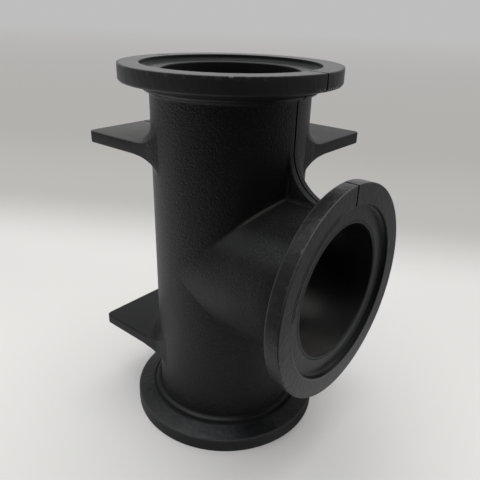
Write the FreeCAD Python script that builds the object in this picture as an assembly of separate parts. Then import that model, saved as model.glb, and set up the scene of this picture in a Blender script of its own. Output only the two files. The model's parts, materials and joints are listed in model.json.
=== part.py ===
import FreeCAD, Part
import math
import os

# Flanged pipe tee, moulded in one piece from glass-filled plastic. The run stands along
# +Z with its lower face at z = 0, and the branch points along +X at half the height.
# The mould parts in the plane y = 0. All lengths are in millimetres.

# Tubes: a full port through the run and the branch, with one wall all round.
BORE_RADIUS = 25.4
TUBE_WALL = 4.4
RUN_LENGTH = 147.7
BRANCH_REACH = 55.9
CREASE_FILLET = 1.2

# Flanges, alike at all three ends: a plain rim, a tapered back for a clamp band to
# pull on, and a low round-edged collar where the taper meets the tube.
FLANGE_RADIUS = 40.55
RIM_WIDTH = 5.75
CLAMP_TAPER_DEG = 14.5
COLLAR_HEIGHT = 2.8
COLLAR_LENGTH = 1.4
RIM_EDGE_ROUND = 0.6
COLLAR_ROUND = 0.8
NECK_FILLET = 1.3

# Gasket recess in each face.
RECESS_RADIUS = 32.86
RECESS_DEPTH = 2.2
RECESS_FLOOR_FILLET = 0.6

# Mounting feet: a flat plate on the -X side and another on the +Y side, at two levels.
FOOT_REACH = 50.8
FOOT_HALF_WIDTH = 28.3
FOOT_THICKNESS = 4.6
FOOT_SETBACK = 28.2
FOOT_CORNER_RADIUS = 2.3
FOOT_ROOT_FILLET = 6.0
FOOT_EDGE_BREAK = 0.35
FOOT_INNER_CORNER = 3.0

# Crotch webs, one above the branch and one below it, with a hollow round edge.
WEB_RADIUS = 18.3
WEB_THICKNESS = 5.8
WEB_EDGE_BREAK = 0.4

# Sizes that follow from the ones above.
TUBE_RADIUS = BORE_RADIUS + TUBE_WALL
BRANCH_HEIGHT = RUN_LENGTH / 2
COLLAR_RADIUS = TUBE_RADIUS + COLLAR_HEIGHT
TAPER_DEPTH = (FLANGE_RADIUS - COLLAR_RADIUS) * math.tan(math.radians(CLAMP_TAPER_DEG))
COLLAR_END = RIM_WIDTH + TAPER_DEPTH + COLLAR_LENGTH
FOOT_LEVEL = FOOT_SETBACK + FOOT_THICKNESS / 2

# Turned rounds are made of short cones, each this close to the true round.
ROUND_TOLERANCE = 0.24

# How far a cutting solid runs past the surface that it cuts.
CUT_MARGIN = 5.0

# Places that agree within this distance count as the same.
SAME = 0.001

ORIGIN = FreeCAD.Vector(0, 0, 0)
Y_AXIS = FreeCAD.Vector(0, 1, 0)
Z_AXIS = FreeCAD.Vector(0, 0, 1)
BRANCH_CENTRE = FreeCAD.Vector(0, 0, BRANCH_HEIGHT)


def corner_arc(corners, i):
    """Arc that rounds corner i of a closed outline of (point, corner radius)."""
    point, radius = corners[i]
    before = corners[i - 1][0]
    after = corners[(i + 1) % len(corners)][0]
    to_before = (before - point).normalize()
    to_after = (after - point).normalize()
    half_angle = to_before.getAngle(to_after) / 2
    setback = radius / math.tan(half_angle)
    bisector = (to_before + to_after).normalize()
    middle = point + bisector * (radius / math.sin(half_angle) - radius)
    return Part.Arc(point + to_before * setback, middle, point + to_after * setback).toShape()


def rounded_wire(corners):
    """Closed outline through corners given as (point, corner radius)."""
    starts = []
    ends = []
    arcs = []
    for i, (point, radius) in enumerate(corners):
        if radius == 0:
            starts.append(point)
            ends.append(point)
            continue
        arc = corner_arc(corners, i)
        starts.append(arc.firstVertex().Point)
        ends.append(arc.lastVertex().Point)
        arcs.append(arc)
    lines = [Part.makeLine(ends[i - 1], starts[i]) for i in range(len(corners))]
    return Part.Wire(Part.__sortEdges__(lines + arcs))


def turned(profile):
    """Solid turned about Z from corners given as (radius, height, corner radius)."""
    corners = [(FreeCAD.Vector(r, 0, z), rounding) for r, z, rounding in profile]
    points = []
    for i, (point, rounding) in enumerate(corners):
        if rounding == 0:
            points.append(point)
            continue
        arc = corner_arc(corners, i)
        widest_step = 2 * math.acos(max(0, 1 - ROUND_TOLERANCE / rounding))
        steps = math.ceil(arc.Length / rounding / widest_step)
        points.extend(arc.discretize(Number=steps + 1))
    outline = Part.makePolygon(points + [points[0]])
    return Part.Face(outline).revolve(ORIGIN, Z_AXIS, 360)


def along_branch(solid):
    """Lays a solid made along +Z from the origin along the branch."""
    solid = solid.copy()
    solid.rotate(ORIGIN, Y_AXIS, 90)
    solid.translate(BRANCH_CENTRE)
    return solid


def upside_down(solid):
    """Mirror image of a solid in the level of the branch's axis."""
    return solid.mirror(BRANCH_CENTRE, Z_AXIS)


def edges_of(shape, curve_type):
    """Edges of a shape that follow one type of curve."""
    return [edge for edge in shape.Edges if not edge.Degenerated and edge.Curve.TypeId == curve_type]


def flange_section():
    """Outside of a flange from its rim to the tube, as (radius, depth, corner radius)."""
    return [
        (FLANGE_RADIUS, 0, 0),
        (FLANGE_RADIUS, RIM_WIDTH, RIM_EDGE_ROUND),
        (COLLAR_RADIUS, RIM_WIDTH + TAPER_DEPTH, 0),
        (COLLAR_RADIUS, COLLAR_END, COLLAR_ROUND),
        (TUBE_RADIUS, COLLAR_END, NECK_FILLET),
    ]


def run_outside():
    """The run as a solid bar: a flange at each end and the tube between them."""
    lower = flange_section()
    upper = [(r, RUN_LENGTH - depth, rounding) for r, depth, rounding in reversed(lower)]
    bar = turned([(0, 0, 0)] + lower + upper + [(0, RUN_LENGTH, 0)])
    # The closing edge of the turned faces goes to the side away from the branch.
    bar.rotate(ORIGIN, Z_AXIS, 180)
    return bar


def branch_outside():
    """The branch as a solid bar, from the run's axis to the branch's face."""
    flange = [(r, BRANCH_REACH - depth, rounding) for r, depth, rounding in flange_section()]
    flange.reverse()
    return along_branch(turned([(0, 0, 0), (TUBE_RADIUS, 0, 0)] + flange + [(0, BRANCH_REACH, 0)]))


def joined_tubes():
    """Run and branch, with a small fillet along the crease where the tubes meet."""
    tubes = run_outside().fuse(branch_outside())
    crease = edges_of(tubes, "Part::GeomEllipse")
    return tubes.makeFillet(CREASE_FILLET, crease)


def crotch_web():
    """Web above the branch: a corner plate whose free edge is a hollow arc."""
    half = WEB_THICKNESS / 2
    # The arc runs out where the web's side faces meet the tubes.
    flank = math.sqrt(TUBE_RADIUS ** 2 - half ** 2)
    arc_x = flank + WEB_RADIUS
    arc_z = BRANCH_HEIGHT + flank + WEB_RADIUS
    in_wall = BORE_RADIUS + TUBE_WALL / 2
    depth = arc_x - in_wall
    blank = Part.makeBox(depth, WEB_THICKNESS, depth, FreeCAD.Vector(in_wall, -half, arc_z - depth))
    hollow_start = FreeCAD.Vector(arc_x, -half - CUT_MARGIN, arc_z)
    hollow = Part.makeCylinder(WEB_RADIUS, WEB_THICKNESS + 2 * CUT_MARGIN, hollow_start, Y_AXIS)
    web = blank.cut(hollow)
    return web.makeChamfer(WEB_EDGE_BREAK, edges_of(web, "Part::GeomCircle"))


def foot_plates():
    """The two feet of the lower level, with flared roots that end at their side faces."""
    half = FOOT_THICKNESS / 2
    hub = half + FOOT_ROOT_FILLET + CUT_MARGIN
    disc_radius = math.hypot(FOOT_REACH, FOOT_HALF_WIDTH) + CUT_MARGIN
    flared_disc = turned([
        (0, -hub, 0),
        (TUBE_RADIUS, -hub, 0),
        (TUBE_RADIUS, -half, FOOT_ROOT_FILLET),
        (disc_radius, -half, 0),
        (disc_radius, half, 0),
        (TUBE_RADIUS, half, FOOT_ROOT_FILLET),
        (TUBE_RADIUS, hub, 0),
        (0, hub, 0),
    ])
    width = FOOT_HALF_WIDTH
    reach = FOOT_REACH
    outline = [
        (-reach, -width, FOOT_CORNER_RADIUS),
        (0, -width, 0),
        (0, 0, 0),
        (width, 0, 0),
        (width, reach, FOOT_CORNER_RADIUS),
        (-width, reach, FOOT_CORNER_RADIUS),
        (-width, width, FOOT_INNER_CORNER),
        (-reach, width, FOOT_CORNER_RADIUS),
    ]
    corners = [(FreeCAD.Vector(x, y, -hub), rounding) for x, y, rounding in outline]
    plan = Part.Face(rounded_wire(corners)).extrude(Z_AXIS * (2 * hub))
    plates = flared_disc.common(plan)
    end_edges = []
    for edge in edges_of(plates, "Part::GeomLine"):
        middle = edge.CenterOfMass
        flat = abs(abs(middle.z) - half) < SAME
        if flat and (abs(middle.x + reach) < SAME or abs(middle.y - reach) < SAME):
            end_edges.append(edge)
    plates = plates.makeChamfer(FOOT_EDGE_BREAK, end_edges)
    plates.translate(Z_AXIS * FOOT_LEVEL)
    return plates


def cavity(length):
    """Gasket recess and bore of one end, from its mouth at z = 0 to the given depth."""
    return turned([
        (0, -CUT_MARGIN, 0),
        (RECESS_RADIUS, -CUT_MARGIN, 0),
        (RECESS_RADIUS, RECESS_DEPTH, RECESS_FLOOR_FILLET),
        (BORE_RADIUS, RECESS_DEPTH, 0),
        (BORE_RADIUS, length, 0),
        (0, length, 0),
    ])


def branch_cavity():
    """Recess and bore of the branch, which opens into the run."""
    hollow = cavity(BRANCH_REACH)
    hollow.rotate(ORIGIN, Y_AXIS, -90)
    hollow.translate(FreeCAD.Vector(BRANCH_REACH, 0, BRANCH_HEIGHT))
    return hollow


def tee_body():
    """The whole moulding: outside first, then the hollows."""
    web = crotch_web()
    feet = foot_plates()
    body = joined_tubes().multiFuse([web, upside_down(web), feet, upside_down(feet)])
    run_hollow = cavity(BRANCH_HEIGHT)
    for hollow in (run_hollow, upside_down(run_hollow), branch_cavity()):
        body = body.cut(hollow)
    return body.removeSplitter()


def main():
    os.makedirs("parts", exist_ok=True)
    tee_body().exportStep("parts/tee_body.step")


main()
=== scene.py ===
import json
import math

import bmesh
import bpy
from mathutils import Matrix, Vector


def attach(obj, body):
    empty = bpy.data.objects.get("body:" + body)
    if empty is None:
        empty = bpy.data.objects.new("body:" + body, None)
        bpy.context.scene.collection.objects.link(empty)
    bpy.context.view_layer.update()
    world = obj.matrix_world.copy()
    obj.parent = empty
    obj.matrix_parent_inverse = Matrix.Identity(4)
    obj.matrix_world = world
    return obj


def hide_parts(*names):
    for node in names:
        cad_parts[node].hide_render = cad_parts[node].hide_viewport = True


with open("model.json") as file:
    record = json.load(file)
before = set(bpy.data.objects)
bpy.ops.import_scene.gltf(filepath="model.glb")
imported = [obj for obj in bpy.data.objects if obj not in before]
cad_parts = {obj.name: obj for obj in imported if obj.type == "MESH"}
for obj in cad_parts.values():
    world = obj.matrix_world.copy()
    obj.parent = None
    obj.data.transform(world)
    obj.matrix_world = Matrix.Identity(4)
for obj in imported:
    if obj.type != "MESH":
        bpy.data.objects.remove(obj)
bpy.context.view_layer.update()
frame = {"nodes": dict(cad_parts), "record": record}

bl_info = {
    "name": "Flanged pipe tee",
    "version": (1, 0, 0),
    "blender": (4, 5, 0),
    "location": "3D View > Sidebar > Pipe tee",
    "description": "Gives a moulded pipe tee its plastic finish and sets up its stage",
    "category": "Object",
}

# Sizes of the moulding, in metres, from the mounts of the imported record.
MOUNTS = {mount["name"]: mount for mount in frame["record"]["mounts"]}


def mount_radius(name):
    return MOUNTS[name]["dims"]["r_mm"] / 1000


BORE_RADIUS = mount_radius("run_bore")
RECESS_RADIUS = mount_radius("top_recess")
RECESS_DEPTH = MOUNTS["top_recess"]["dims"]["length_mm"] / 1000
RIM_RADIUS = mount_radius("top_rim")
RUN_LENGTH = MOUNTS["top_recess"]["pos_m"][2]
BRANCH_REACH = MOUNTS["branch_recess"]["pos_m"][0]
BRANCH_HEIGHT = MOUNTS["branch_recess"]["pos_m"][2]
# Middle levels of the two pairs of feet.
FOOT_LEVELS = (MOUNTS["back_foot_lower"]["pos_m"][2], MOUNTS["back_foot_upper"]["pos_m"][2])

# Sizes that the record doesn't give.
TUBE_WALL = 0.0044
TUBE_RADIUS = BORE_RADIUS + TUBE_WALL
RIM_WIDTH = 0.00575
COLLAR_HEIGHT = 0.0028
COLLAR_RADIUS = TUBE_RADIUS + COLLAR_HEIGHT
# Depths behind a flange's face: where its taper meets its collar, and its collar's end.
COLLAR_DEPTH = 0.00781
COLLAR_END = 0.0092
FOOT_THICKNESS = 0.0046
FOOT_SIDE = 0.0283
# Flare that joins the feet to the tube.
ROOT_ROUND = 0.0060
# Half the thickness of the crotch webs, the radius of their hollow edge, and how far
# from the tubes' axes their side faces start.
WEB_HALF = 0.0029
WEB_RADIUS = 0.0183
CROTCH = math.sqrt(TUBE_RADIUS ** 2 - WEB_HALF ** 2)

# Round between the floor and the wall of a gasket recess, in the solid and in the
# photograph.
RECESS_FOOT_SOLID = 0.0006
RECESS_FOOT = 0.0013

# Round at the feet of the webs, and how far along the tubes it runs from the crotch.
WEB_FOOT_ROUND = 0.0007
WEB_FOOT_RUN = 0.0115

# Eased edges of the flanges, which the mould leaves a little round.
FACE_EDGE = 0.00025
RECESS_EDGE = 0.00025
BORE_EDGE = 0.0004

# Groove that the mould's parting leaves. Under the branch it starts at this level, where
# the lower web runs out, and at the back of the lower half it ends this far from the
# axis, at the root of the foot.
PARTING_WIDTH = 0.00080
PARTING_DEPTH = 0.00035
PARTING_START = BRANCH_HEIGHT - TUBE_RADIUS - WEB_RADIUS
PARTING_BACK = 0.0310

ENDS = ("bottom", "top", "branch")

# The flares of the feet come in steps that leave their round by less than the first of
# these, on faces whose normals lean upwards or downwards by more than the second.
ROOT_STEP = 0.00035
ROOT_LEAN = 0.1
# How many cuts a step of a flare and the round of a recess get, and how many facets an
# eased edge has.
ROOT_CUTS = 3
RECESS_CUTS = 3
EDGE_SEGMENTS = 3

# Corners of the mesh closer than this are one, and places this close agree.
MERGE_GAP = 0.000002
SAME = 0.00001
# How far the mesh of a round wall may leave the true round.
CHORD_SLACK = 0.00006
# Faces turned less than this from each other are one flat face.
FLAT_ANGLE = math.radians(0.6)
# Edges that turn more than this stay sharp, and how much a large face sways the shading.
CORNER_ANGLE = math.radians(52)
FACE_SWAY = 80


def pick(*objects):
    """Leaves only these objects selected, with the first one active."""
    bpy.ops.object.select_all(action="DESELECT")
    for item in objects:
        item.select_set(True)
    bpy.context.view_layer.objects.active = objects[0]


class Wire:
    """A number that flows through a material, to be used in plain expressions."""

    def __init__(self, sheet, socket):
        self.sheet = sheet
        self.socket = socket

    def maths(self, operation, *values):
        settings = {"operation": operation}
        return self.sheet.add("ShaderNodeMath", settings, dict(enumerate(values))).out()

    def __add__(self, other):
        return self.maths("ADD", self, other)

    def __radd__(self, other):
        return self.maths("ADD", other, self)

    def __sub__(self, other):
        return self.maths("SUBTRACT", self, other)

    def __rsub__(self, other):
        return self.maths("SUBTRACT", other, self)

    def __mul__(self, other):
        return self.maths("MULTIPLY", self, other)

    def __rmul__(self, other):
        return self.maths("MULTIPLY", other, self)

    def __truediv__(self, other):
        return self.maths("DIVIDE", self, other)

    def __pow__(self, other):
        return self.maths("POWER", self, other)

    def __abs__(self):
        return self.maths("ABSOLUTE", self)

    def exponent(self):
        return self.maths("EXPONENT", self)

    def angle_from(self, other):
        """Turn of a point, with this wire as its height and the other as its reach."""
        return self.maths("ARCTAN2", self, other)

    def least(self, *others):
        result = self
        for other in others:
            result = self.maths("MINIMUM", result, other)
        return result

    def most(self, *others):
        result = self
        for other in others:
            result = self.maths("MAXIMUM", result, other)
        return result

    def rise(self, low, high):
        """0 up to low, 1 from high on, and a smooth rise between them."""
        settings = {"interpolation_type": "SMOOTHSTEP"}
        values = {"Value": self, "From Min": low, "From Max": high}
        return self.sheet.add("ShaderNodeMapRange", settings, values).out()

    def fall(self, low, high):
        """1 up to low, 0 from high on, and a smooth fall between them."""
        return 1 - self.rise(low, high)

    def window(self, opening, closing):
        """Rises over the opening stretch and falls over the closing one."""
        if closing is None:
            return self.rise(*opening)
        if opening is None:
            return self.fall(*closing)
        return self.rise(*opening) * self.fall(*closing)

    def between(self, first, last):
        """First where this is 0, last where it is 1, and in between in proportion."""
        return self * (last - first) + first


class Node:
    """A node of a material, whose outputs are taken as wires."""

    def __init__(self, sheet, node):
        self.sheet = sheet
        self.node = node

    def out(self, name=0):
        return Wire(self.sheet, self.node.outputs[name])


class Sheet:
    """The nodes of one material or of the world."""

    def __init__(self, tree):
        self.tree = tree
        tree.nodes.clear()

    def connect(self, socket, value):
        """Gives a socket a wire or a plain value."""
        if isinstance(value, Wire):
            self.tree.links.new(value.socket, socket)
        else:
            socket.default_value = value

    def add(self, kind, settings=None, values=None):
        """Adds a node: its settings first, then the values or wires of its sockets."""
        node = self.tree.nodes.new(kind)
        for name, setting in (settings or {}).items():
            setattr(node, name, setting)
        for name, value in (values or {}).items():
            self.connect(node.inputs[name], value)
        return Node(self, node)

    def place(self):
        """Coordinates in the object's own frame, in metres."""
        return self.add("ShaderNodeTexCoord").out("Object")

    def parts(self, vector):
        node = self.add("ShaderNodeSeparateXYZ", None, {"Vector": vector})
        return node.out("X"), node.out("Y"), node.out("Z")

    def noise(self, vector, grain, detail, shift):
        """Noise from 0 to 1 whose lumps measure about one grain, in metres."""
        values = {"Location": shift, "Scale": (1 / grain,) * 3, "Vector": vector}
        moved = self.add("ShaderNodeMapping", None, values).out()
        values = {"Vector": moved, "Scale": 1.0, "Detail": detail}
        return self.add("ShaderNodeTexNoise", None, values).out()

    def dot(self, first, second):
        values = {0: first, 1: second}
        return self.add("ShaderNodeVectorMath", {"operation": "DOT_PRODUCT"}, values).out("Value")

    def blend(self, factor, first, second):
        """Colour that goes from the first to the second."""
        node = self.add("ShaderNodeMix", {"data_type": "RGBA"}, {"Factor": factor}).node
        for name, colour in (("A", first), ("B", second)):
            socket = [s for s in node.inputs if s.name == name and s.type == "RGBA"][0]
            self.connect(socket, colour)
        result = [s for s in node.outputs if s.type == "RGBA"][0]
        return Wire(self, result)


def new_material(name):
    material = bpy.data.materials.new(name)
    material.use_nodes = True
    return material, Sheet(material.node_tree)


def grey(level, warmth=0.0):
    """Opaque linear colour of one level, a little warmer or cooler."""
    return (level * (1 + warmth), level, level * (1 - warmth), 1)


def opaque(colour):
    return tuple(colour) + (1,)


# The plastic's finish. A stretch is two measures between which a mark comes in or fades
# out. A window is two stretches, for coming in and for fading out, with None for a side
# that it doesn't have. Lengths are in metres, and turns in radians.

# How softly one zone of the mould turns into the next, and how far past its radius a
# bore's finish goes.
ZONE_SOFTNESS = 0.0003
BORE_MARGIN = 0.0012
# Depth behind a face at which the smoother finish of its flange ends.
FLANGE_DEPTH = 0.0094
# Where the branch's bore and its skin begin, along X.
BRANCH_BORE_START = (0.0, 0.02)
BRANCH_START = (0.0, 0.01)
# The skin of a rim by its distance from the rim's radius, and of a face by its depth.
RIM_SKIN = (-0.0010, -0.0005)
FACE_SKIN = (0.0004, 0.0007)

# Painted shade in the corners where tapers meet collars. The one under the top flange is
# fainter, and there is one more at the foot of the lowest collar.
CORNER_FADE = (0.0004, 0.0015)
HIGH_CORNER_EASE = 0.0005
NECK_FADE = (0.0006, 0.0016)
NECK_SHADE = 0.8

# Turns about the branch's axis are from +Y upwards. Rings on its face have a distance
# outwards from the edge of the recess and a stretch over which they fade.
# The first ring is painted shadow along the recess's edge, the second a thin dark ring further
# out; both show over the turns below.
RECESS_EDGE_SHADOW = (0.00035, (0.00030, 0.00048))
THIN_DARK_RING = (0.0015, (0.00012, 0.00024))
DARK_RING_TURNS = ((1.80, 1.95), (2.95, 3.10))
# Thin lip that stands up round the recess below the scores, and the shade inside it.
LIP = (0.0006, (0.00015, 0.00040))
LIP_TURNS = ((-3.0, -2.85), (-1.9, -1.6))
LIP_SHADE = (-0.0001, (0.00010, 0.00030))
LIP_SHADE_DEPTH = (0.001, RECESS_DEPTH)
# Straight scratch beside the lip: start and direction in Y and Z, length, its fades
# across and along, the last one in parts of its length, and its strength to the lip's.
SCRATCH_START = (-0.03405, 0.0696)
SCRATCH_HEADING = (-0.176, -0.984)
SCRATCH_LENGTH = 0.01465
SCRATCH_FADE = (0.00010, 0.00034)
SCRATCH_ENDS = ((-0.15, 0.1), (0.9, 1.0))
SCRATCH_SHARE = 0.6

# Walls of the recesses, which get painted shade, by the distance from their edge, and how
# dark that shade is on the run's.
BRANCH_WALL_SKIN = (-0.0011, -0.0006)
RUN_WALL_SKIN = (-0.0010, -0.0005)
RUN_WALL_SHADE = 0.6
# Part of the branch's recess where the floor gets more painted light and the wall painted shade.
RECESS_RIGHT = {"y": ((-0.004, 0.012), None), "up": (None, (0.010, 0.026))}

# Depth at which the lower flange's taper starts, and where by heading it gets painted
# light, painted shade with more roughness and, at the far side, a little of that shade.
# The lower rim gets that shade too.
TAPER_START = (0.0052, 0.0056)
PALE_TAPER = ((-1.50, -1.15), (-0.85, -0.55))
DULL_TAPER = (-0.35, 0.0)
DULL_TAPER_FAR = (-2.60, -2.25)
DULL_TAPER_FAR_SHARE = 0.6
DULL_RUN_RIM = (-0.30, 0.10)
# Depths of the taper under the top rim that gets painted light.
UNDER_RIM = ((0.00595, 0.00655), (0.0102, 0.0114))
# Where the branch's rim gets painted shade, by height, and is dull, by turn.
DARK_RIM = (-0.004, 0.014)
DULL_RIM_TURNS = ((2.40, 2.75), (3.00, 3.14))

# The parting line fades out at this many times the groove's half width, and on the
# branch's face at this many times its eased edge. It is weaker on the lower flange and on
# the run's rims, and ends below the branch's axis, under the branch and at the back.
LINE_FADE = 1.2
FACE_LINE_FADE = 1.5
LINE_LOSS_LOW = 0.9
LINE_LOSS_RIM = 0.5
BELOW_AXIS = (-0.001, 0.0)
UNDER_BRANCH = (0.0, 0.001)
UNDER_BRANCH_END = (PARTING_START, PARTING_START + 0.0003)
BACK_END = (-PARTING_BACK, -PARTING_BACK + 0.0002)
# Paler strip that runs beside the groove.
STRIP = {
    "y": ((0.0004, 0.0007), (0.0078, 0.0130)),
    "x": (BRANCH_START, None),
}

# Painted highlight along the crease where the tubes meet: how much its distances from
# both skins differ, where it shows, and how strong it is below the branch's axis and above it.
CREASE_FADE = (0.0004, 0.0009)
CREASE = {"x": ((0.020, 0.026), None), "off_run": (None, (0.0008, 0.0016))}
CREASE_RISE = (0.0, 0.01)
CREASE_SHARES = (0.4, 1.0)
# Painted highlight along the feet of the upper web: how far they are from its middle,
# their fade, where they show, and how strong they are on the run and on the branch.
WEB_FOOT_PLACE = 0.0032
WEB_FOOT_FADE = (0.0002, 0.0006)
WEB_FOOT = {
    "off_nearer": (None, (0.0006, 0.0012)),
    "off_farther": (None, (0.005, 0.013)),
    "x": ((0.026, 0.028), None),
    "up": ((0.026, 0.028), None),
}
WEB_FOOT_SPLIT = (0.0300, 0.0305)
WEB_FOOT_SHARES = (0.35, 0.80)
# Painted highlight on the hollow edge of the webs.
WEB_EDGE = {
    "across": (None, (0.0024, 0.0026)),
    "off_nearer": ((0.0008, 0.0016), None),
    "x": ((0.02, 0.025), None),
}
# Skin of the branch, and the turns of a painted sheen along it.
BRANCH_SKIN = {
    "off_branch": (None, (0.0010, 0.0016)),
    "off_run": ((0.0, 0.001), None),
    "x": (BRANCH_START, None),
}
BAND_TURNS = ((2.22, 2.42), (2.50, 2.72))
# Painted shade in the corners of the tubes: on the run beside the crease, and on the branch
# before its flange, where it is a little weaker. They are rough too, by this share.
CREASE_SHADE = {
    "heading": ((-0.85, -0.62), None),
    "y": (None, (-0.003, -0.001)),
    "off_run": (None, (0.0010, 0.0016)),
    "off_branch": ((0.0, 0.001), None),
    "up": ((0.0, 0.010), (0.036, 0.052)),
}
FLANGE_SHADE = {"x": ((0.034, 0.047), None), "up": (None, (0.010, 0.016))}
FLANGE_SHADE_SHARE = 0.8
ROUGH_SHADE_SHARE = 0.7

# The feet, and the painted reflection on part of the upper back foot's top.
FOOT = {
    "off_run": ((0.001, 0.003), None),
    "off_branch": ((0.004, 0.006), None),
    "x": (None, (0.0295, 0.0300)),
}
FOOT_TOP = FOOT_LEVELS[1] + FOOT_THICKNESS / 2
PALE_FOOT = {
    "z": ((FOOT_TOP - 0.0007, FOOT_TOP - 0.0002), None),
    "x": (None, (-0.034, -0.016)),
}

# Paler, cloudy part and pale part of the branch's face, and how strong the cloudy part is
# between its clouds and in them.
PALE_PATCH_LEFT = (-0.015, 0.015)
PALE_PATCH_LOW = (-0.030, -0.005)
PALE_PATCH_CLOUDS = (0.15, 0.5)
PALE_PATCH_SHARES = (0.6, 1.0)
PALE_FACE = {"y": ((0.004, 0.020), None), "up": (None, (-0.012, 0.004))}

# Painted reflection in the branch's bore: deep on the right, and along the bottom.
DEEP_BORE_REFLECTION = {
    "x": ((0.024, 0.029), (0.033, 0.043)),
    "y": ((0.006, 0.014), None),
    "up": (None, (-0.0215, -0.0155)),
}
LOW_BORE_REFLECTION = {"x": ((0.034, 0.040), None), "y": (None, (-0.003, 0.014))}
LOW_BORE_REFLECTION_SHARE = 0.9
BORE_REFLECTION_TOP = (-0.012, 0.004)

# Noises: the size of a lump, the detail, and a shift that keeps it apart from the others.
FINE = (0.00055, 2.0, (0, 0, 0))
COARSE = (0.0009, 2.0, (3.1, 5.7, 1.3))
SCUFFS = (0.0022, 5.0, (1.9, 8.3, 6.1))
CLOUDS = (0.021, 3.0, (7.7, 2.9, 4.1))
# Stretches of the noises in which they show.
SPECKLE = (0.45, 0.75)
CLOUDY = (0.35, 0.7)
CLOUDY_BORE = (0.30, 0.65)

# Heights of the noises and of the lip, in metres.
FINE_HEIGHT = 0.00028
COARSE_HEIGHT = 0.00020
SCUFF_HEIGHT = 0.00018
LIP_HEIGHT = 0.00015
# How much less grain the smooth zones and the feet have, how much the branch has to the
# tube's, where it starts, and how much is left near the parting line.
SMOOTH_LOSS = 0.82
BRANCH_GRAIN = 2.5
BRANCH_GRAIN_START = (0.020, 0.032)
CALM_GRAIN = 0.45
CALM = {
    "across": (None, (0.006, 0.022)),
    "off_branch": ((0.0005, 0.0015), None),
    "x": (BRANCH_START, None),
}

# Rubbed edges, partly real wear and partly painted highlight: the round by which they are
# found, how much they turn, and how patchy they are. The top rim and the upper part of the
# branch's get more painted highlight, and the backs of all the rims a little.
EDGE_ROUND = 0.00045
EDGE_SAMPLES = 8
EDGE_TURN = (0.93, 0.999)
EDGE_PATCHES = (0.28, 0.55)
RIM_RUB = (0.00025, 0.00060)
RIM_PATCHES = (0.30, 0.55)
UPPER_BRANCH_RIM = (0.008, 0.016)
RIM_BACK = (0.0003, 0.0009)
RIM_BACK_SHARE = 0.7
# Chips along the rims, and one nick in the top rim, at this heading.
CHIP_REACH = (0.0004, 0.0018)
CHIP_PATCHES = (0.56, 0.66)
NICK_HEADING = -0.857
NICK_REACH = (0.0003, 0.0008)
NICK_WIDTH = (0.012, 0.022)
# Flash left at the back of the top rim, on the branch's side.
FLASH_HEADING = 0.08
FLASH_REACH = (0.0006, 0.0014)
FLASH_WIDTH = (0.16, 0.24)
FLASH_PATCHES = (0.48, 0.56)

PLASTIC_ROUGHNESS = 0.42
PLASTIC_IOR = 1.49


class End:
    """Measures and zones of one flanged end, as wires."""

    def __init__(self, depth, radius):
        # Depth behind the face, and distance from the axis.
        self.depth = depth
        self.radius = radius
        self.off_rim = radius - RIM_RADIUS
        self.flange = depth.fall(FLANGE_DEPTH - ZONE_SOFTNESS, FLANGE_DEPTH + ZONE_SOFTNESS)
        self.rim = self.flange * self.off_rim.rise(*RIM_SKIN)
        past_floor = RECESS_DEPTH + ZONE_SOFTNESS
        self.recess = depth.fall(past_floor, past_floor + ZONE_SOFTNESS)
        self.recess = self.recess * radius.fall(RECESS_RADIUS, RECESS_RADIUS + ZONE_SOFTNESS)

    def ring_gap(self, radius, depth):
        """Distance from the ring of this radius at this depth."""
        return ((self.radius - radius) ** 2 + (self.depth - depth) ** 2) ** 0.5

    def face_ring(self, out, fade):
        """Ring this far outside the edge of the recess."""
        return abs(self.radius - RECESS_RADIUS - out).fall(*fade)


class Moulding:
    """Measures and zones of the whole tee, as wires."""

    def __init__(self, sheet):
        self.place = sheet.place()
        self.x, self.y, self.z = sheet.parts(self.place)
        self.across = abs(self.y)
        self.up = self.z - BRANCH_HEIGHT
        run_radius = (self.x * self.x + self.y * self.y) ** 0.5
        branch_radius = (self.y * self.y + self.up * self.up) ** 0.5
        # Turns about the axes of the run and of the branch.
        self.heading = self.y.angle_from(self.x)
        self.turn = self.up.angle_from(self.y)
        # Distances from the tubes' skins.
        self.off_run = run_radius - TUBE_RADIUS
        self.off_branch = branch_radius - TUBE_RADIUS
        self.off_nearer = self.off_run.least(self.off_branch)
        self.off_farther = self.off_run.most(self.off_branch)

        self.low = End(self.z, run_radius)
        self.high = End(RUN_LENGTH - self.z, run_radius)
        self.branch = End(BRANCH_REACH - self.x, branch_radius)
        bore_end = BORE_RADIUS + BORE_MARGIN
        bore_end = (bore_end - ZONE_SOFTNESS, bore_end + ZONE_SOFTNESS)
        self.branch_bore = branch_radius.fall(*bore_end) * self.x.rise(*BRANCH_BORE_START)
        self.bore = run_radius.fall(*bore_end).most(self.branch_bore)
        self.flange = self.low.flange.most(self.high.flange, self.branch.flange) * (1 - self.bore)
        self.smooth = self.flange.most(self.bore)
        self.recess = self.low.recess.most(self.high.recess, self.branch.recess)
        self.run_rim = self.low.rim.most(self.high.rim)
        self.face = self.branch.depth.fall(*FACE_SKIN)
        self.foot = self.patch(FOOT) * (1 - self.flange)
        self.below_axis = self.up.fall(*BELOW_AXIS)

    def patch(self, windows):
        """Patch with soft sides, from the windows of the measures that bound it."""
        return math.prod(getattr(self, name).window(*sides) for name, sides in windows.items())

    def ring_gaps(self, radius, depth):
        """Distances from the same ring of the lower, the upper and the branch's flange."""
        return [end.ring_gap(radius, depth) for end in (self.low, self.high, self.branch)]


def corner_shade(tee):
    """Painted shade in the corners of the collars."""
    low, high, branch = tee.ring_gaps(COLLAR_RADIUS, COLLAR_DEPTH)
    corner = low.least(high + HIGH_CORNER_EASE, branch).fall(*CORNER_FADE)
    neck = tee.low.ring_gap(TUBE_RADIUS, COLLAR_END).fall(*NECK_FADE)
    return corner.most(neck * NECK_SHADE)


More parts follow.
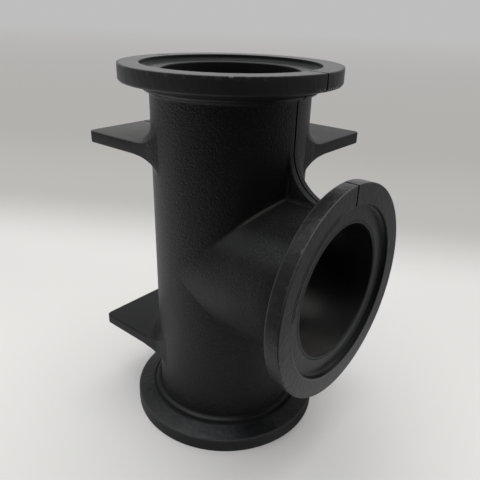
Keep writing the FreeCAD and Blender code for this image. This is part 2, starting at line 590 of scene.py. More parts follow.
def face_marks(tee):
    """Painted shadow at the recess's edge, a thin dark ring, the pale lip and a straight scratch
    on the branch's face.
    """
    dark_rings = tee.branch.face_ring(*RECESS_EDGE_SHADOW).most(tee.branch.face_ring(*THIN_DARK_RING))
    dark_rings = dark_rings * tee.turn.window(*DARK_RING_TURNS) * tee.face
    lip_turns = tee.turn.window(*LIP_TURNS)
    lip = tee.branch.face_ring(*LIP) * lip_turns * tee.face
    lip_shade = tee.branch.face_ring(*LIP_SHADE) * tee.branch.depth.fall(*LIP_SHADE_DEPTH)
    from_y, from_z = (tee.y - SCRATCH_START[0], tee.z - SCRATCH_START[1])
    passed = (from_y * SCRATCH_HEADING[0] + from_z * SCRATCH_HEADING[1]) / SCRATCH_LENGTH
    aside = abs(from_y * SCRATCH_HEADING[1] - from_z * SCRATCH_HEADING[0])
    scratch = aside.fall(*SCRATCH_FADE) * passed.window(*SCRATCH_ENDS) * tee.face
    return dark_rings.most(lip_shade * lip_turns), lip, scratch


def recess_light_and_shade(tee):
    """Painted light on the floor of the branch's recess, more on its pale part, and painted shade
    on the walls of the recesses.
    """
    branch_wall = (tee.branch.radius - RECESS_RADIUS).rise(*BRANCH_WALL_SKIN)
    run_wall = (tee.high.radius - RECESS_RADIUS).rise(*RUN_WALL_SKIN)
    right = tee.patch(RECESS_RIGHT)
    floor = tee.branch.recess * (1 - branch_wall) * (1 - tee.bore)
    run_recess = tee.low.recess.most(tee.high.recess)
    wall = (tee.branch.recess * branch_wall * right).most(run_recess * run_wall * RUN_WALL_SHADE)
    return floor, floor * right, wall


def taper_light_and_shade(tee):
    """Painted light, and painted shade with more roughness, on the lower flange's taper and rim.
    """
    taper = tee.low.flange * tee.low.off_rim.fall(*RIM_SKIN) * tee.low.depth.rise(*TAPER_START)
    pale = taper * tee.heading.window(*PALE_TAPER)
    dull = taper * tee.heading.rise(*DULL_TAPER) + tee.low.rim * tee.heading.rise(*DULL_RUN_RIM)
    dull = dull + taper * tee.heading.fall(*DULL_TAPER_FAR) * DULL_TAPER_FAR_SHARE
    return pale, dull


def parting_line(tee):
    """Line in the groove that the mould's parting leaves, where the photograph shows it."""
    groove = PARTING_WIDTH / 2
    line = tee.across.fall(groove, groove * LINE_FADE) * (1 - tee.bore) * (1 - tee.recess)
    line = line * (1 - tee.low.flange * LINE_LOSS_LOW) * (1 - tee.run_rim * LINE_LOSS_RIM)
    hidden = (
        tee.branch.depth.fall(FACE_EDGE, FACE_EDGE * FACE_LINE_FADE) * tee.below_axis,
        tee.x.rise(*UNDER_BRANCH) * tee.z.fall(*UNDER_BRANCH_END),
        tee.x.fall(*BACK_END) * tee.below_axis,
    )
    for part in hidden:
        line = line * (1 - part)
    return line


def crease_highlights(tee):
    """Painted highlight along the crease between the tubes and along the feet of the upper web.
    """
    crease = abs(tee.off_run - tee.off_branch).fall(*CREASE_FADE) * tee.patch(CREASE)
    crease = crease * (1 - tee.bore) * tee.up.rise(*CREASE_RISE).between(*CREASE_SHARES)
    web_foot = abs(tee.across - WEB_FOOT_PLACE).fall(*WEB_FOOT_FADE) * tee.patch(WEB_FOOT)
    return crease.most(web_foot * tee.x.rise(*WEB_FOOT_SPLIT).between(*WEB_FOOT_SHARES))


def bore_reflection(tee):
    """Painted reflection in the branch's bore."""
    dust = tee.patch(DEEP_BORE_REFLECTION).most(tee.patch(LOW_BORE_REFLECTION) * LOW_BORE_REFLECTION_SHARE)
    return dust * tee.branch_bore * tee.up.fall(*BORE_REFLECTION_TOP) * (1 - tee.recess)


def tube_highlights_strip_and_shade(tee):
    """Painted highlights on the crease and the web edges, the pale strip, a painted sheen along
    the branch, and painted shade in the tubes' corners.
    """
    crease = crease_highlights(tee)
    web_edge = tee.patch(WEB_EDGE) * (1 - tee.flange)
    strip = tee.patch(STRIP) * (1 - tee.bore) * (1 - tee.flange)
    on_branch = tee.patch(BRANCH_SKIN) * (1 - tee.smooth)
    sheen_band = on_branch * tee.turn.window(*BAND_TURNS)
    shade = tee.patch(CREASE_SHADE) * (1 - tee.smooth)
    shade = shade.most(on_branch * tee.patch(FLANGE_SHADE) * FLANGE_SHADE_SHARE)
    return crease, web_edge, strip, sheen_band, shade * (1 - crease)


def edge_wear_and_highlights(tee, edge, coarse, scuffs):
    """Rubbed edges that also carry painted highlights, chips and a nick along the rims, and the
    flash at the top one.
    """
    low, high, branch = tee.ring_gaps(RIM_RADIUS, 0)
    rim_gap = low.least(high, branch)
    lit_upper_rims = tee.high.flange.most(tee.branch.flange * tee.up.rise(*UPPER_BRANCH_RIM))
    rim = rim_gap.fall(*RIM_RUB) * lit_upper_rims
    chips = rim_gap.fall(*CHIP_REACH) * scuffs.rise(*CHIP_PATCHES)
    nick = high.fall(*NICK_REACH) * abs(tee.heading - NICK_HEADING).fall(*NICK_WIDTH)
    low, high, branch = tee.ring_gaps(RIM_RADIUS, RIM_WIDTH)
    back = low.least(high, branch).fall(*RIM_BACK) * RIM_BACK_SHARE
    rub_and_highlight = (edge * coarse.rise(*EDGE_PATCHES)).most(rim * coarse.rise(*RIM_PATCHES), back)
    flash = high.fall(*FLASH_REACH) * abs(tee.heading - FLASH_HEADING).fall(*FLASH_WIDTH)
    return rub_and_highlight, chips, nick, flash * coarse.rise(*FLASH_PATCHES)


def pale_face_clouds(tee, clouds):
    """Paler, cloudy tone on the left and the lower part of the branch's face."""
    pale_patch = tee.y.fall(*PALE_PATCH_LEFT).most(tee.up.fall(*PALE_PATCH_LOW)) * tee.face
    return pale_patch * clouds.rise(*PALE_PATCH_CLOUDS).between(*PALE_PATCH_SHARES)


def surface_height(tee, fine, coarse, scuffs, lip):
    """Strength of the grain, and the height that it, the scuffs and the lip make."""
    grain = 1 - (tee.smooth + tee.foot) * SMOOTH_LOSS
    on_tube = tee.x.rise(*BRANCH_GRAIN_START) * (1 - tee.smooth)
    grain = grain * on_tube.between(1, BRANCH_GRAIN) * tee.patch(CALM).between(1, CALM_GRAIN)
    height = (fine * FINE_HEIGHT + coarse * COARSE_HEIGHT) * grain
    return grain, height + scuffs * tee.flange * SCUFF_HEIGHT + lip * LIP_HEIGHT


def tee_plastic(settings):
    """Black glass-filled plastic: grained tubes and feet, smoother flanges and bores."""
    material, sheet = new_material("black_moulded_plastic")
    tee = Moulding(sheet)
    fine, coarse, scuffs, clouds = (
        sheet.noise(tee.place, *noise) for noise in (FINE, COARSE, SCUFFS, CLOUDS))

    collar_shade = corner_shade(tee)
    dark_rings, lip, scratch = face_marks(tee)
    recess_floor, pale_floor, recess_wall = recess_light_and_shade(tee)
    lit_taper, dull_shaded_taper = taper_light_and_shade(tee)
    line = parting_line(tee)
    crease, web_edge, strip, sheen_band, tube_shade = tube_highlights_strip_and_shade(tee)
    shaded_low_foot = tee.foot * tee.below_axis

    # Where the surface turns, from its direction eased over the edges and its true one.
    edge_values = {"Radius": EDGE_ROUND}
    eased = sheet.add("ShaderNodeBevel", {"samples": EDGE_SAMPLES}, edge_values).out()
    edge = sheet.dot(eased, sheet.add("ShaderNodeNewGeometry").out("Normal")).fall(*EDGE_TURN)
    rub_and_highlight, chips, nick, flash = edge_wear_and_highlights(tee, edge, coarse, scuffs)
    grain, height = surface_height(tee, fine, coarse, scuffs, lip)
    bump = sheet.add("ShaderNodeBump", None, {
        "Strength": 1.0,
        "Distance": 1.0,
        "Height": height,
        "Normal": eased,
    }).out()

    colour = sheet.blend(
        tee.smooth, opaque(settings.grained_colour), opaque(settings.smooth_colour))
    # Layers over the plastic's own colour, in order: where, how strong, and which colour.
    layers = (
        (clouds.rise(*CLOUDY), 0.35, grey(0.014, 0.02)),
        (fine.rise(*SPECKLE) * grain.least(1), 0.6, grey(0.036)),
        (scuffs.rise(*SPECKLE) * tee.flange, 0.5, grey(0.032)),
        # Painted light on the upper flange and painted shade on the lower one.
        (tee.high.flange * (1 - tee.bore), 0.5, grey(0.019, -0.05)),
        (tee.low.flange * (1 - tee.bore), 0.4, grey(0.011, -0.20)),
        (pale_face_clouds(tee, clouds), 0.8, grey(0.042, 0.02)),
        (tee.face * tee.patch(PALE_FACE), 0.7, grey(0.062)),
        # Painted light on the top rim.
        (tee.high.rim, 0.6, grey(0.034)),
        # Painted light on part of the lower flange's taper.
        (lit_taper, 0.8, grey(0.032, -0.06)),
        # Painted light on the taper under the top rim.
        (tee.high.depth.window(*UNDER_RIM) * (1 - tee.bore), 0.4, grey(0.040)),
        # Painted shade on parts of the lower flange's taper and rim.
        (dull_shaded_taper, 0.8, grey(0.001)),
        # Painted shade on the lower part of the branch's rim.
        (tee.branch.rim * tee.up.fall(*DARK_RIM), 0.75, grey(0.002)),
        # Painted reflection on part of the upper back foot's top.
        (tee.foot * tee.patch(PALE_FOOT), 0.8, grey(0.034, 0.05)),
        # Painted shade on the lower feet.
        (shaded_low_foot, 0.8, grey(0.002, -0.20)),
        (strip, 0.45, grey(0.034)),
        # Painted highlight on the webs' hollow edges.
        (web_edge, 0.6, grey(0.030)),
        # Painted sheen along the branch.
        (sheen_band, 0.9, grey(0.036, -0.03)),
        # Painted shade in the tubes' corners.
        (tube_shade, 0.9, grey(0.001)),
        # Painted highlight along the crease and the feet of the upper web.
        (crease, 0.8, grey(0.090, 0.06)),
        # Rubbed edges, partly real wear and partly painted highlight.
        (rub_and_highlight, settings.wear, opaque(settings.rubbed_and_lit_colour)),
        (tee.bore * clouds.rise(*CLOUDY_BORE), 0.5, grey(0.020, 0.05)),
        # Painted reflection in the branch's bore.
        (bore_reflection(tee), 0.8, grey(0.068, 0.05)),
        (chips, settings.wear, grey(0.08, 0.06)),
        (nick, 1.0, grey(0.20)),
        (lip.most(scratch * SCRATCH_SHARE), 0.7, grey(0.12)),
        # Painted light on the recesses and their floors, and painted shade on their walls.
        (tee.recess * tee.flange, 0.6, grey(0.026, -0.03)),
        (recess_floor, 0.6, grey(0.036, -0.04)),
        (pale_floor, 0.8, grey(0.085, -0.04)),
        (recess_wall, 0.9, grey(0.001)),
        (flash, 0.8, grey(0.35)),
        # Dark parting line, painted shadow along the recess's edge, a thin dark ring and painted
        # shade inside the lip.
        (line.most(dark_rings), 0.95, grey(0.001)),
        # Painted shade in the collars' corners.
        (collar_shade, 0.9, grey(0.001)),
    )
    for mask, strength, layer in layers:
        colour = sheet.blend(mask * strength, colour, layer)

    # How much rougher than plain plastic each part is.
    dull_parts = dull_shaded_taper.most(recess_wall, tee.branch.rim * tee.turn.window(*DULL_RIM_TURNS))
    roughness = PLASTIC_ROUGHNESS
    for mask, change in (
        (tee.flange, -0.13),
        (tee.bore, -0.06),
        (clouds, 0.10),
        (rub_and_highlight, -0.05),
        (line.most(dark_rings, collar_shade, tube_shade * ROUGH_SHADE_SHARE), 0.40),
        (shaded_low_foot, 0.12),
        (tee.run_rim, 0.16),
        (dull_parts, 0.25),
    ):
        roughness = roughness + mask * change

    shader = sheet.add("ShaderNodeBsdfPrincipled", None, {
        "Base Color": colour,
        "Roughness": roughness,
        "Normal": bump,
        "IOR": PLASTIC_IOR,
    })
    sheet.add("ShaderNodeOutputMaterial", None, {"Surface": shader.out()})
    return material


class FinishSettings(bpy.types.PropertyGroup):
    """Colours of the moulding."""

    grained_colour: bpy.props.FloatVectorProperty(
        name="Grained plastic", description="Colour of the grained tubes and feet",
        subtype="COLOR", size=3, min=0, max=1, default=(0.0050, 0.0050, 0.0052))
    smooth_colour: bpy.props.FloatVectorProperty(
        name="Smooth plastic", description="Colour of the smoother flanges and bores",
        subtype="COLOR", size=3, min=0, max=1, default=(0.0110, 0.0110, 0.0114))
    # Colour of the rubbed edges, which also carry painted highlights.
    rubbed_and_lit_colour: bpy.props.FloatVectorProperty(
        name="Rubbed edge", description="Colour of plastic rubbed pale along an edge",
        subtype="COLOR", size=3, min=0, max=1, default=(0.070, 0.070, 0.068))
    # Strength of the rubbed edges with their painted highlights, and of the chips.
    wear: bpy.props.FloatProperty(
        name="Edge wear", description="How far the edges are rubbed pale",
        subtype="FACTOR", min=0, max=1, default=0.7)


class StageSettings(bpy.types.PropertyGroup):
    """Floor and camera."""

    floor_colour: bpy.props.FloatVectorProperty(
        name="Floor", description="Colour of the floor under and before the tee",
        subtype="COLOR", size=3, min=0, max=1, default=(0.65, 0.645, 0.63))
    backdrop_colour: bpy.props.FloatVectorProperty(
        name="Backdrop", description="Colour of the floor's far part, behind the tee",
        subtype="COLOR", size=3, min=0, max=1, default=(0.51, 0.495, 0.48))
    shadow_lift: bpy.props.FloatProperty(
        name="Shadow lift",
        description="How far the pale floor glows by itself, which keeps its shadows light",
        subtype="FACTOR", min=0, max=1, default=0.32)
    camera_place: bpy.props.FloatVectorProperty(
        name="Camera place", description="Where the camera stands",
        subtype="TRANSLATION", unit="LENGTH", size=3, default=(0.12779, -0.14817, 0.16617))
    camera_azimuth: bpy.props.FloatProperty(
        name="Camera azimuth", description="Heading of the camera, from +Y towards -X",
        subtype="ANGLE", default=math.radians(39.61005))
    camera_dip: bpy.props.FloatProperty(
        name="Camera dip", description="How far the camera looks down",
        subtype="ANGLE", default=math.radians(25.48152))
    camera_roll: bpy.props.FloatProperty(
        name="Camera roll", description="How far the camera leans to its left",
        subtype="ANGLE", default=math.radians(1.55))
    lens: bpy.props.FloatProperty(
        name="Lens", description="Focal length of the camera on a sensor 36 mm wide",
        subtype="DISTANCE_CAMERA", unit="CAMERA", default=38.45)
    shift: bpy.props.FloatVectorProperty(
        name="Shift", description="Sideways and upward shift of the lens, in image widths",
        size=2, default=(0.0059, 0.0207))


def merged_copy(node, name):
    """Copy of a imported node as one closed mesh, with its flat faces whole again."""
    piece = bpy.data.objects.new(name, frame["nodes"][node].data.copy())
    bpy.context.scene.collection.objects.link(piece)
    pick(piece)
    bpy.ops.mesh.customdata_custom_splitnormals_clear()
    bpy.ops.object.mode_set(mode="EDIT")
    bpy.ops.mesh.select_all(action="SELECT")
    bpy.ops.mesh.remove_doubles(threshold=MERGE_GAP)
    bpy.ops.mesh.dissolve_limited(angle_limit=FLAT_ANGLE)
    bpy.ops.object.mode_set(mode="OBJECT")
    return piece


def open_mesh(piece, element):
    """Opens a piece for editing by edges or faces."""
    pick(piece)
    bpy.ops.object.mode_set(mode="EDIT")
    bpy.ops.mesh.select_mode(type=element)


def select_edges(piece, is_wanted):
    """Selects the edges of an open mesh that pass a test, and nothing else."""
    bpy.ops.mesh.select_all(action="DESELECT")
    mesh = bmesh.from_edit_mesh(piece.data)
    for edge in mesh.edges:
        edge.select_set(is_wanted(edge))
    bmesh.update_edit_mesh(piece.data)


def root_offset(point):
    """Place of a point across a foot's flare, from the centre of the flare's round, with
    the side of the foot that it is on and the centre's level."""
    level = min(FOOT_LEVELS, key=lambda middle: abs(point.z - middle))
    side = 1 if point.z > level else -1
    centre_z = level + side * (FOOT_THICKNESS / 2 + ROOT_ROUND)
    out = math.hypot(point.x, point.y) - TUBE_RADIUS - ROOT_ROUND
    return out, point.z - centre_z, side, centre_z


def on_root_flare(point):
    out, up, side, _ = root_offset(point)
    return out < SAME and up * side < SAME and abs(math.hypot(out, up) - ROOT_ROUND) < ROOT_STEP


def settle_on_flare(point):
    """Moves a corner of the flare onto its true round, and keeps it in its side face."""
    out, up, _, centre_z = root_offset(point)
    scale = ROOT_ROUND / math.hypot(out, up)
    radius = out * scale + TUBE_RADIUS + ROOT_ROUND
    point.z = centre_z + up * scale
    if abs(abs(point.y) - FOOT_SIDE) < SAME:
        point.x = math.copysign(math.sqrt(radius ** 2 - point.y ** 2), point.x)
    elif abs(abs(point.x) - FOOT_SIDE) < SAME:
        point.y = math.copysign(math.sqrt(radius ** 2 - point.x ** 2), point.y)
    else:
        stretch = radius / math.hypot(point.x, point.y)
        point.x *= stretch
        point.y *= stretch


def crosses_flare(edge):
    """Whether an edge runs up or down a step of a flare."""
    first, second = (corner.co for corner in edge.verts)
    if abs(first.z - second.z) <= SAME:
        return False
    return any(
        abs(face.normal.z) > ROOT_LEAN and on_root_flare(face.calc_center_median())
        for face in edge.link_faces)


def round_foot_roots(piece):
    """Gives the stepped flares at the roots of the feet their true round."""
    open_mesh(piece, "EDGE")
    select_edges(piece, crosses_flare)
    bpy.ops.mesh.subdivide(number_cuts=ROOT_CUTS)
    mesh = bmesh.from_edit_mesh(piece.data)
    for corner in mesh.verts:
        if corner.select and on_root_flare(corner.co):
            settle_on_flare(corner.co)
    bmesh.update_edit_mesh(piece.data)
    bpy.ops.object.mode_set(mode="OBJECT")


def on_web_foot(point):
    """Whether a point lies where a web's side face meets the tubes."""
    if abs(abs(point.y) - WEB_HALF) > SAME or point.x < 0:
        return False
    along_run = abs(point.z - BRANCH_HEIGHT) - CROTCH
    along_branch = point.x - CROTCH
    return any(
        abs(off) < CHORD_SLACK and -CHORD_SLACK < along < WEB_FOOT_RUN + SAME
        for off, along in ((along_branch, along_run), (along_run, along_branch)))


def round_web_feet(piece):
    """Puts a small round where the webs' side faces meet the tubes."""
    open_mesh(piece, "EDGE")
    end = CROTCH + WEB_FOOT_RUN
    cuts = (
        ((end, 0, 0), (1, 0, 0)),
        ((0, 0, BRANCH_HEIGHT + end), (0, 0, 1)),
        ((0, 0, BRANCH_HEIGHT - end), (0, 0, 1)),
    )
    for place, direction in cuts:
        bpy.ops.mesh.select_all(action="SELECT")
        bpy.ops.mesh.bisect(plane_co=place, plane_no=direction)
    select_edges(piece, lambda edge: all(on_web_foot(corner.co) for corner in edge.verts))
    bpy.ops.mesh.bevel(offset=WEB_FOOT_ROUND, segments=EDGE_SEGMENTS, affect="EDGES")
    bpy.ops.mesh.select_all(action="SELECT")
    bpy.ops.mesh.remove_doubles(threshold=MERGE_GAP)
    bpy.ops.mesh.dissolve_degenerate(threshold=SAME)
    bpy.ops.object.mode_set(mode="OBJECT")


def level_and_radius(point, end):
    """Height of a point over a flange's face, outwards, and its distance from the axis."""
    if end == "branch":
        return point.x - BRANCH_REACH, math.hypot(point.y, point.z - BRANCH_HEIGHT)
    level = point.z - RUN_LENGTH if end == "top" else -point.z
    return level, math.hypot(point.x, point.y)


def set_level_and_radius(point, end, level, radius):
    """Moves a point to a level and radius at one end, without turning it about the axis."""
    scale = radius / level_and_radius(point, end)[1]
    point.y *= scale
    if end == "branch":
        point.x = BRANCH_REACH + level
        point.z = BRANCH_HEIGHT + (point.z - BRANCH_HEIGHT) * scale
    else:
        point.x *= scale
        point.z = RUN_LENGTH + level if end == "top" else -level


def is_at(point, end, level, radius):
    found_level, found_radius = level_and_radius(point, end)
    return abs(found_level - level) < SAME and abs(found_radius - radius) < SAME


def on_ring(point, level, radius):
    return any(is_at(point, end, level, radius) for end in ENDS)


def round_recess_feet(piece):
    """Widens the round between the floor and the wall of every gasket recess."""
    floor_ring = (-RECESS_DEPTH, RECESS_RADIUS - RECESS_FOOT_SOLID)
    wall_ring = (-RECESS_DEPTH + RECESS_FOOT_SOLID, RECESS_RADIUS)

    def crosses_round(edge):
        start, finish = (corner.co for corner in edge.verts)
        return (on_ring(start, *floor_ring) and on_ring(finish, *wall_ring)
                or on_ring(finish, *floor_ring) and on_ring(start, *wall_ring))

    open_mesh(piece, "EDGE")
    select_edges(piece, crosses_round)
    # Centre of the wide round's section. The old round's two sides move out to its ends.
    centre_level = -RECESS_DEPTH + RECESS_FOOT
    centre_radius = RECESS_RADIUS - RECESS_FOOT
    mesh = bmesh.from_edit_mesh(piece.data)
    for corner in mesh.verts:
        for end in ENDS:
            level, radius = level_and_radius(corner.co, end)
            if is_at(corner.co, end, *floor_ring):
                set_level_and_radius(corner.co, end, level, centre_radius)
            elif is_at(corner.co, end, *wall_ring):
                set_level_and_radius(corner.co, end, centre_level, radius)
    bmesh.update_edit_mesh(piece.data)
    bpy.ops.mesh.subdivide(number_cuts=RECESS_CUTS)
    mesh = bmesh.from_edit_mesh(piece.data)
    for corner in mesh.verts:
        for end in ENDS:
            level, radius = level_and_radius(corner.co, end)
            down = level - centre_level
            out = radius - centre_radius
            if -RECESS_FOOT + SAME < down < -SAME and SAME < out < RECESS_FOOT - SAME:
                stretch = RECESS_FOOT / math.hypot(down, out)
                level = centre_level + down * stretch
                set_level_and_radius(corner.co, end, level, centre_radius + out * stretch)
    bmesh.update_edit_mesh(piece.data)
    bpy.ops.object.mode_set(mode="OBJECT")


def ease_ring(piece, level, radius, width):
    """Rounds one sharp ring edge of every flange."""
    open_mesh(piece, "EDGE")
    select_edges(
        piece, lambda edge: all(on_ring(corner.co, level, radius) for corner in edge.verts))
    bpy.ops.mesh.bevel(offset=width, segments=EDGE_SEGMENTS, affect="EDGES")
    bpy.ops.object.mode_set(mode="OBJECT")


def shows_parting(point):
    """Whether the parting line shows at a point: on the outside, and not on the lower
    flange, under the branch, on the lower half of its face or on the lower back foot."""
    for end in ENDS:
        level, radius = level_and_radius(point, end)
        if -RECESS_DEPTH - SAME < level and radius < RECESS_RADIUS + RECESS_EDGE + SAME:
            return False
    if point.z < FLANGE_DEPTH + SAME or (point.x > 0 and point.z < PARTING_START):
        return False
    below_axis = point.z < BRANCH_HEIGHT
    if below_axis and (point.x > BRANCH_REACH - FACE_EDGE or point.x < -PARTING_BACK):
        return False
    in_run = math.hypot(point.x, point.y) < BORE_RADIUS + SAME
    in_branch = point.x > 0 and math.hypot(point.y, point.z - BRANCH_HEIGHT) < BORE_RADIUS + SAME
    return not in_run and not in_branch


def cut_parting_line(piece):
    """Sinks the fine groove that the two mould halves leave in the plane y = 0."""
    open_mesh(piece, "FACE")
    bpy.ops.mesh.select_all(action="SELECT")
    bpy.ops.mesh.quads_convert_to_tris(ngon_method="BEAUTY")
    for side in (-1, 1):
        bpy.ops.mesh.select_all(action="SELECT")
        bpy.ops.mesh.bisect(plane_co=(0, side * PARTING_WIDTH / 2, 0), plane_no=(0, 1, 0))
    bpy.ops.mesh.select_all(action="DESELECT")
    mesh = bmesh.from_edit_mesh(piece.data)
    for face in mesh.faces:
        centre = face.calc_center_median()
        face.select_set(abs(centre.y) < PARTING_WIDTH / 2 and shows_parting(centre))
    bmesh.update_edit_mesh(piece.data)
    bpy.ops.mesh.extrude_region_shrink_fatten(
        TRANSFORM_OT_shrink_fatten={"value": -PARTING_DEPTH, "use_even_offset": False})
    bpy.ops.object.mode_set(mode="OBJECT")


def shade_soft(piece):
    """Smooth shading that keeps flat faces flat and true corners sharp."""
    pick(piece)
    bpy.ops.object.shade_smooth_by_angle(angle=CORNER_ANGLE)
    weigh = piece.modifiers.new("flat faces", "WEIGHTED_NORMAL")
    weigh.keep_sharp = True
    weigh.weight = FACE_SWAY
    bpy.ops.object.modifier_apply(modifier=weigh.name)


class TEE_OT_moulding(bpy.types.Operator):
    """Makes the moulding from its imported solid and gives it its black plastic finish"""

    bl_idname = "tee.moulding"
    bl_label = "Moulding"

    def execute(self, context):
        piece = merged_copy("tee_body", "tee_moulding")
        round_foot_roots(piece)
        round_web_feet(piece)
        round_recess_feet(piece)
        ease_ring(piece, 0, RIM_RADIUS, FACE_EDGE)
        ease_ring(piece, 0, RECESS_RADIUS, RECESS_EDGE)
        ease_ring(piece, -RECESS_DEPTH, BORE_RADIUS, BORE_EDGE)
        cut_parting_line(piece)
        shade_soft(piece)
        piece.data.materials.clear()
        piece.data.materials.append(tee_plastic(context.scene.tee_finish))
        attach(piece, "root")
        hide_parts("tee_body")
        return {"FINISHED"}


# The floor is a disc with this many sides.
FLOOR_RADIUS = 4.0
FLOOR_SIDES = 96
FLOOR_ROUGHNESS = 0.8

# Heading away from the camera, in degrees, and the stretches along it where the floor
# turns to its back part, to the backdrop, to the backdrop's dim part and to the sky.
BEHIND = 120.335
BACK_START = (-0.05, 0.10)
BACKDROP_START = (0.12, 0.25)
DIM_START = (0.24, 0.50)
SKY_START = (0.6, 3.8)
# How much of the tone before them the floor's back and the backdrop's dim part have, both
# painted shade, and the level of the sky.
FLOOR_FADE = 0.91
BACKDROP_FADE = 0.89
SKY_LEVEL = 0.515

# Glow of the floor that the tee's gloss and shade see. Near the tee it is this, with
# more at this heading in degrees, and less right under the tee.
NEAR_GLOW = 0.50
LEFT_GLOW = 0.22
LEFT = 215
UNDER_TEE = (0.048, 0.064)
UNDER_SHARES = (1.0, 0.5)
# Distances at which the near floor and then the close floor end.
NEAR_END = (0.09, 0.15)
CLOSE_END = (0.45, 0.75)
# Glow by heading in degrees, of the close floor and of the far one.
FLOOR_GLOW = (
    (-49, 0.0, 0.08),
    (41, 0.26, 0.19),
    (131, 0.58, 0.79),
    (180, 0.26, 0.20),
    (221, 0.55, 0.08),
)

# Glow of the room in soft patches: heading and height in degrees, and level. The larger
# the focus, the smaller a patch.
ROOM_GLOW = ((90, 8, 0.17), (135, 8, 0.84), (45, 33, 0.37), (225, 62, 0.62), (0, 90, 0.74))
PATCH_FOCUS = 6.0

# Square lamp over the tee: place, the point that it lights, side and power in watts.
LAMP_PLACE = (-0.15, 0.15, 0.9)
LAMP_TARGET = (0, 0, 0.05)
LAMP_SIDE = 1.1
LAMP_POWER = 12.3

# Width of the camera's sensor, in millimetres, and how near it sees, in metres.
SENSOR_WIDTH = 36
NEAREST_VIEW = 0.01


def along(x, y, heading):
    """How far a place on the floor lies along a heading in degrees."""
    return x * math.cos(math.radians(heading)) + y * math.sin(math.radians(heading))


def floor_glow(x, y):
    """Glow of the floor as the tee sees it, dim on the camera's side."""
    distance = (x * x + y * y) ** 0.5
    near = distance.fall(*NEAR_END)
    close = distance.fall(*CLOSE_END)
    left = (along(x, y, LEFT) / distance).most(0)
    under = distance.fall(*UNDER_TEE).between(*UNDER_SHARES)
    glow = near * under * (left * LEFT_GLOW + NEAR_GLOW)
    for heading, close_level, far_level in FLOOR_GLOW:
        sector = (along(x, y, heading) / distance).most(0) ** 2
        glow = glow + (close - near) * sector * close_level + (1 - close) * sector * far_level
    return glow


def floor_material(settings):
    """Pale floor that turns to the greyer backdrop behind the tee."""
    material, sheet = new_material("pale_floor")
    x, y, _ = sheet.parts(sheet.place())
    behind = along(x, y, BEHIND)
    colour = opaque(settings.floor_colour)
    tones = (
        (BACK_START, opaque(level * FLOOR_FADE for level in settings.floor_colour)),
        (BACKDROP_START, opaque(settings.backdrop_colour)),
        (DIM_START, opaque(level * BACKDROP_FADE for level in settings.backdrop_colour)),
        (SKY_START, grey(SKY_LEVEL)),
    )
    for stretch, tone in tones:
        colour = sheet.blend(behind.rise(*stretch), colour, tone)
    lit_values = {"Base Color": colour, "Roughness": FLOOR_ROUGHNESS}
    lit = sheet.add("ShaderNodeBsdfPrincipled", None, lit_values)
    glowing = sheet.add("ShaderNodeEmission", None, {"Color": colour, "Strength": 1.0})
    share = behind.rise(*BACKDROP_START).between(settings.shadow_lift, 1)
    seen = sheet.add("ShaderNodeMixShader", None, {0: share, 1: lit.out(), 2: glowing.out()})

    felt_values = {"Color": grey(1.0), "Strength": floor_glow(x, y)}
    felt = sheet.add("ShaderNodeEmission", None, felt_values)
    to_camera = sheet.add("ShaderNodeLightPath").out("Is Camera Ray")
    shader = sheet.add("ShaderNodeMixShader", None, {0: to_camera, 1: felt.out(), 2: seen.out()})
    sheet.add("ShaderNodeOutputMaterial", None, {"Surface": shader.out()})
    return material


def build_world():
    """Soft room light: bright behind the tee and above it, dim on the camera's side."""
    world = bpy.data.worlds.new("soft_room")
    bpy.context.scene.world = world
    world.use_nodes = True
    sheet = Sheet(world.node_tree)
    direction = sheet.add("ShaderNodeTexCoord").out("Generated")
    level = 0
    for heading, height, glow in ROOM_GLOW:
        turn = Matrix.Rotation(math.radians(heading), 3, "Z")
        turn = turn @ Matrix.Rotation(-math.radians(height), 3, "Y")
        towards = sheet.dot(direction, turn @ Vector((1, 0, 0)))
        level = level + ((towards - 1) * PATCH_FOCUS).exponent() * glow
    seen = sheet.add("ShaderNodeLightPath").out("Is Camera Ray")
    strength = level * (1 - seen) + seen * SKY_LEVEL
    light = sheet.add("ShaderNodeBackground", None, {"Color": grey(1.0), "Strength": strength})
    sheet.add("ShaderNodeOutputWorld", None, {"Surface": light.out()})


def add_floor(settings):
    """Round floor that fills the view."""
    bpy.ops.mesh.primitive_circle_add(
        vertices=FLOOR_SIDES, radius=FLOOR_RADIUS, fill_type="NGON")
    floor = bpy.context.object
    floor.name = "floor"
    floor.data.materials.append(floor_material(settings))


def add_top_lamp():
    """Large lamp over the tee, which its gloss doesn't see."""
    bpy.ops.object.light_add(type="AREA", location=LAMP_PLACE)
    lamp = bpy.context.object
    lamp.name = "top_lamp"
    lamp.data.name = "top_lamp"
    lamp.data.size = LAMP_SIDE
    lamp.data.energy = LAMP_POWER
    aim = Vector(LAMP_TARGET) - Vector(LAMP_PLACE)
    lamp.rotation_euler = aim.to_track_quat("-Z", "Y").to_euler()
    lamp.visible_glossy = False


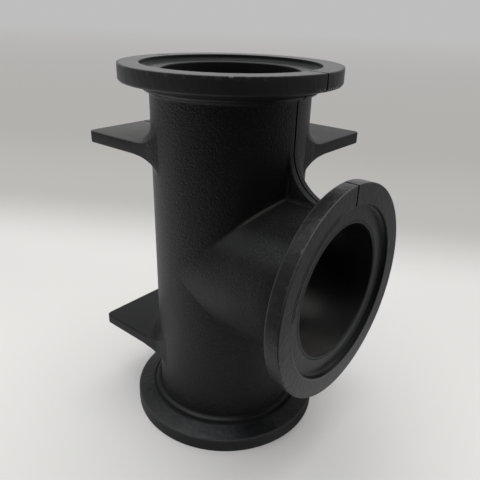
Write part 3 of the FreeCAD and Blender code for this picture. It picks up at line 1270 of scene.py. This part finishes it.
def add_camera(settings):
    """Camera at the photograph's place, heading and lens."""
    bpy.ops.object.camera_add(location=settings.camera_place)
    camera = bpy.context.object
    heading = Matrix.Rotation(settings.camera_azimuth, 3, "Z")
    pitch = Matrix.Rotation(math.pi / 2 - settings.camera_dip, 3, "X")
    roll = Matrix.Rotation(settings.camera_roll, 3, "Z")
    camera.rotation_euler = (heading @ pitch @ roll).to_euler()
    camera.data.sensor_width = SENSOR_WIDTH
    camera.data.lens = settings.lens
    camera.data.shift_x, camera.data.shift_y = settings.shift
    camera.data.clip_start = NEAREST_VIEW
    bpy.context.scene.camera = camera


class TEE_OT_stage(bpy.types.Operator):
    """Lays the floor, hangs the lamp and places the camera"""

    bl_idname = "tee.stage"
    bl_label = "Stage"

    def execute(self, context):
        settings = context.scene.tee_stage
        bpy.ops.object.select_all(action="DESELECT")
        add_floor(settings)
        add_top_lamp()
        build_world()
        add_camera(settings)
        context.scene.view_settings.view_transform = "Standard"
        return {"FINISHED"}


class TEE_PT_panel(bpy.types.Panel):
    """Lists the steps that make the tee"""

    bl_label = "Pipe tee"
    bl_idname = "TEE_PT_panel"
    bl_space_type = "VIEW_3D"
    bl_region_type = "UI"
    bl_category = "Pipe tee"

    def draw(self, context):
        for step in STEPS:
            self.layout.operator(step.bl_idname)
        for group in (context.scene.tee_finish, context.scene.tee_stage):
            for name in group.__annotations__:
                self.layout.prop(group, name)


STEPS = (TEE_OT_moulding, TEE_OT_stage)
CLASSES = (FinishSettings, StageSettings) + STEPS + (TEE_PT_panel,)


def register():
    for cls in CLASSES:
        bpy.utils.register_class(cls)
    bpy.types.Scene.tee_finish = bpy.props.PointerProperty(type=FinishSettings)
    bpy.types.Scene.tee_stage = bpy.props.PointerProperty(type=StageSettings)


def unregister():
    del bpy.types.Scene.tee_stage
    del bpy.types.Scene.tee_finish
    for cls in reversed(CLASSES):
        bpy.utils.unregister_class(cls)


def main():
    register()
    bpy.ops.tee.moulding()
    bpy.ops.tee.stage()


if __name__ == "__main__":
    main()
